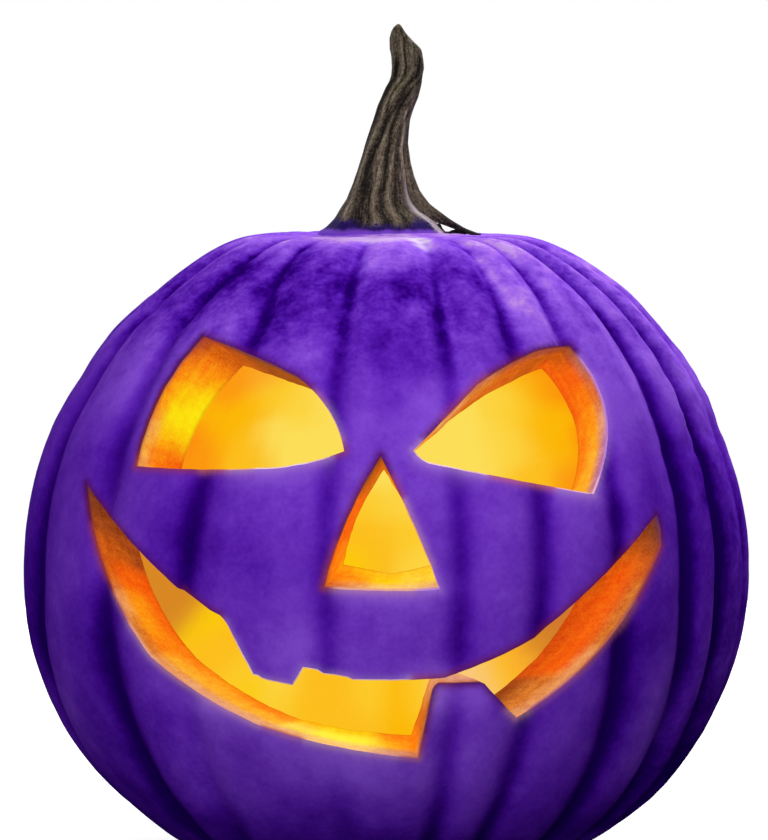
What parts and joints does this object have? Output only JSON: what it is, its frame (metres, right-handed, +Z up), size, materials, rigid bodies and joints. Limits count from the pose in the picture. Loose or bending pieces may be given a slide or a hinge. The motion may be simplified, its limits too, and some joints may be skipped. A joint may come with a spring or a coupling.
{
  "type": "carved pumpkin lantern",
  "caption": "Hollowed ribbed pumpkin with a tall curved stem; slanted eyes, a triangular nose and a wide toothed grin are cut through the wall to let a light shine out.",
  "frame": {"origin": "centre of the small flat spot under the pumpkin that it rests on", "axes": "+Z up along the pumpkin and its stem, -Y out of the carved face, +X to the right of someone who looks at the face"},
  "size_m": [0.2997, 0.3002, 0.3507],
  "materials": {
    "skin": "waxy violet pumpkin skin with darker grooves, soft shine",
    "flesh": "moist orange flesh at the cuts and round the hollow",
    "stem": "dry grey brown ridged stem"
  },
  "bodies": {
    "root": {"pumpkin": "skin"}
  },
  "joints": []
}
